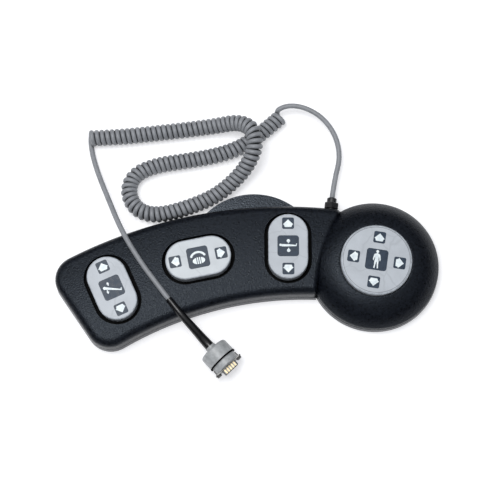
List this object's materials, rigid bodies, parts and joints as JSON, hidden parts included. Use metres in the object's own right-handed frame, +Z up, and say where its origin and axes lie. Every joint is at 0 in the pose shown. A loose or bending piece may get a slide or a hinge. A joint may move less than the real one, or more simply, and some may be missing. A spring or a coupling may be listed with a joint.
{
  "type": "hand controller",
  "caption": "Wired hand controller: a crescent arm with sprung rocker pads, a round pod with a four-way pad, and a curly cord to a round plug.",
  "frame": {"origin": "on the surface the controller rests on, under the middle of the body's box, the free cord and its plug left out", "axes": "+X along the arm towards the round pod, +Y towards the rear lug and the cord gland, +Z up from the resting face"},
  "size_m": [0.3715, 0.2757, 0.0366],
  "materials": {
    "case_base": "injection-moulded near-black plastic, glossy leaning walls",
    "case_top": "injection-moulded near-black plastic, fine grain, satin",
    "overlay_film": "silver-grey printed polyester film",
    "window_film": "navy tinted window with pale symbols",
    "pad_body": "silver-grey moulded pad, satin",
    "inner_plastic": "moulded inner plastic",
    "rubber": "black rubber",
    "switch_plastic": "switch housing",
    "circuit_board": "green glass-epoxy board",
    "steel": "zinc-plated steel",
    "brass": "brass insert",
    "gland_nylon": "black nylon",
    "cord_jacket": "mid-grey polyurethane cord jacket",
    "ribbon": "flat cable",
    "boot_rubber": "black tapered boot",
    "plug_metal": "grey die-cast plug shell",
    "contact_gold": "gold-plated contacts"
  },
  "bodies": {
    "root": {"board_connectors": "switch_plastic", "board_screws": "steel", "case_gasket": "rubber", "case_screws": "steel", "cord_clamp": "inner_plastic", "cord_coil": "cord_jacket", "cord_lead_a": "cord_jacket", "cord_lead_b": "cord_jacket", "cord_tail": "cord_jacket", "gland_body": "gland_nylon", "gland_cap": "gland_nylon", "gland_grommet": "rubber", "gland_nut": "gland_nylon", "lower_case": "case_base", "main_board": "circuit_board", "pad_1_pivot_pin": "steel", "pad_1_seal": "rubber", "pad_1_switch_board": "circuit_board", "pad_1_switches": "switch_plastic", "pad_1_well": "inner_plastic", "pad_2_pivot_pin": "steel", "pad_2_seal": "rubber", "pad_2_switch_board": "circuit_board", "pad_2_switches": "switch_plastic", "pad_2_well": "inner_plastic", "pad_3_pivot_pin": "steel", "pad_3_seal": "rubber", "pad_3_switch_board": "circuit_board", "pad_3_switches": "switch_plastic", "pad_3_well": "inner_plastic", "plug_boot": "boot_rubber", "plug_d_shell": "steel", "plug_front_ring": "plug_metal", "plug_insulator": "gland_nylon", "plug_jackscrews": "steel", "plug_o_ring": "rubber", "plug_pins": "contact_gold", "plug_shell": "plug_metal", "pod_cable": "ribbon", "rail_inserts": "brass", "round_pad_seal": "rubber", "round_pad_switch_board": "circuit_board", "round_pad_switches": "switch_plastic", "round_pad_well": "inner_plastic", "rubber_feet": "rubber", "upper_case": "case_top", "well_screws": "steel"},
    "pad_1": {"pad_1_rocker": "pad_body", "pad_1_overlay": "overlay_film", "pad_1_windows": "window_film"},
    "pad_2": {"pad_2_rocker": "pad_body", "pad_2_overlay": "overlay_film", "pad_2_windows": "window_film"},
    "pad_3": {"pad_3_rocker": "pad_body", "pad_3_overlay": "overlay_film", "pad_3_windows": "window_film"},
    "round_pad_ball": {"round_pad_pivot_ball": "steel"},
    "round_pad": {"round_pad_body": "pad_body", "round_pad_overlay": "overlay_film", "round_pad_windows": "window_film"}
  },
  "joints": [
    {"name": "pad_1_rock", "type": "hinge", "parent": "root", "child": "pad_1", "pos_m": [-0.1277, -0.0214, 0.0165], "axis": [-0.91, -0.4147, 0], "range_deg": [-3, 3], "stiffness_Nm_per_rad": 0.6},
    {"name": "pad_2_rock", "type": "hinge", "parent": "root", "child": "pad_2", "pos_m": [-0.0464, 0.0081, 0.0165], "axis": [-0.1994, 0.9799, 0], "range_deg": [-3, 3], "stiffness_Nm_per_rad": 0.6},
    {"name": "pad_3_rock", "type": "hinge", "parent": "root", "child": "pad_3", "pos_m": [0.0394, 0.0194, 0.0165], "axis": [-1, 0, 0], "range_deg": [-3, 3], "stiffness_Nm_per_rad": 0.6},
    {"name": "round_pad_tilt_up_down", "type": "hinge", "parent": "root", "child": "round_pad_ball", "pos_m": [0.1229, 0.0048, 0.022], "axis": [0.9877, -0.1564, 0], "range_deg": [-2.5, 2.5], "stiffness_Nm_per_rad": 0.8},
    {"name": "round_pad_tilt_left_right", "type": "hinge", "parent": "round_pad_ball", "child": "round_pad", "pos_m": [0.1229, 0.0048, 0.022], "axis": [0.1564, 0.9877, 0], "range_deg": [-2.5, 2.5], "stiffness_Nm_per_rad": 0.8}
  ]
}
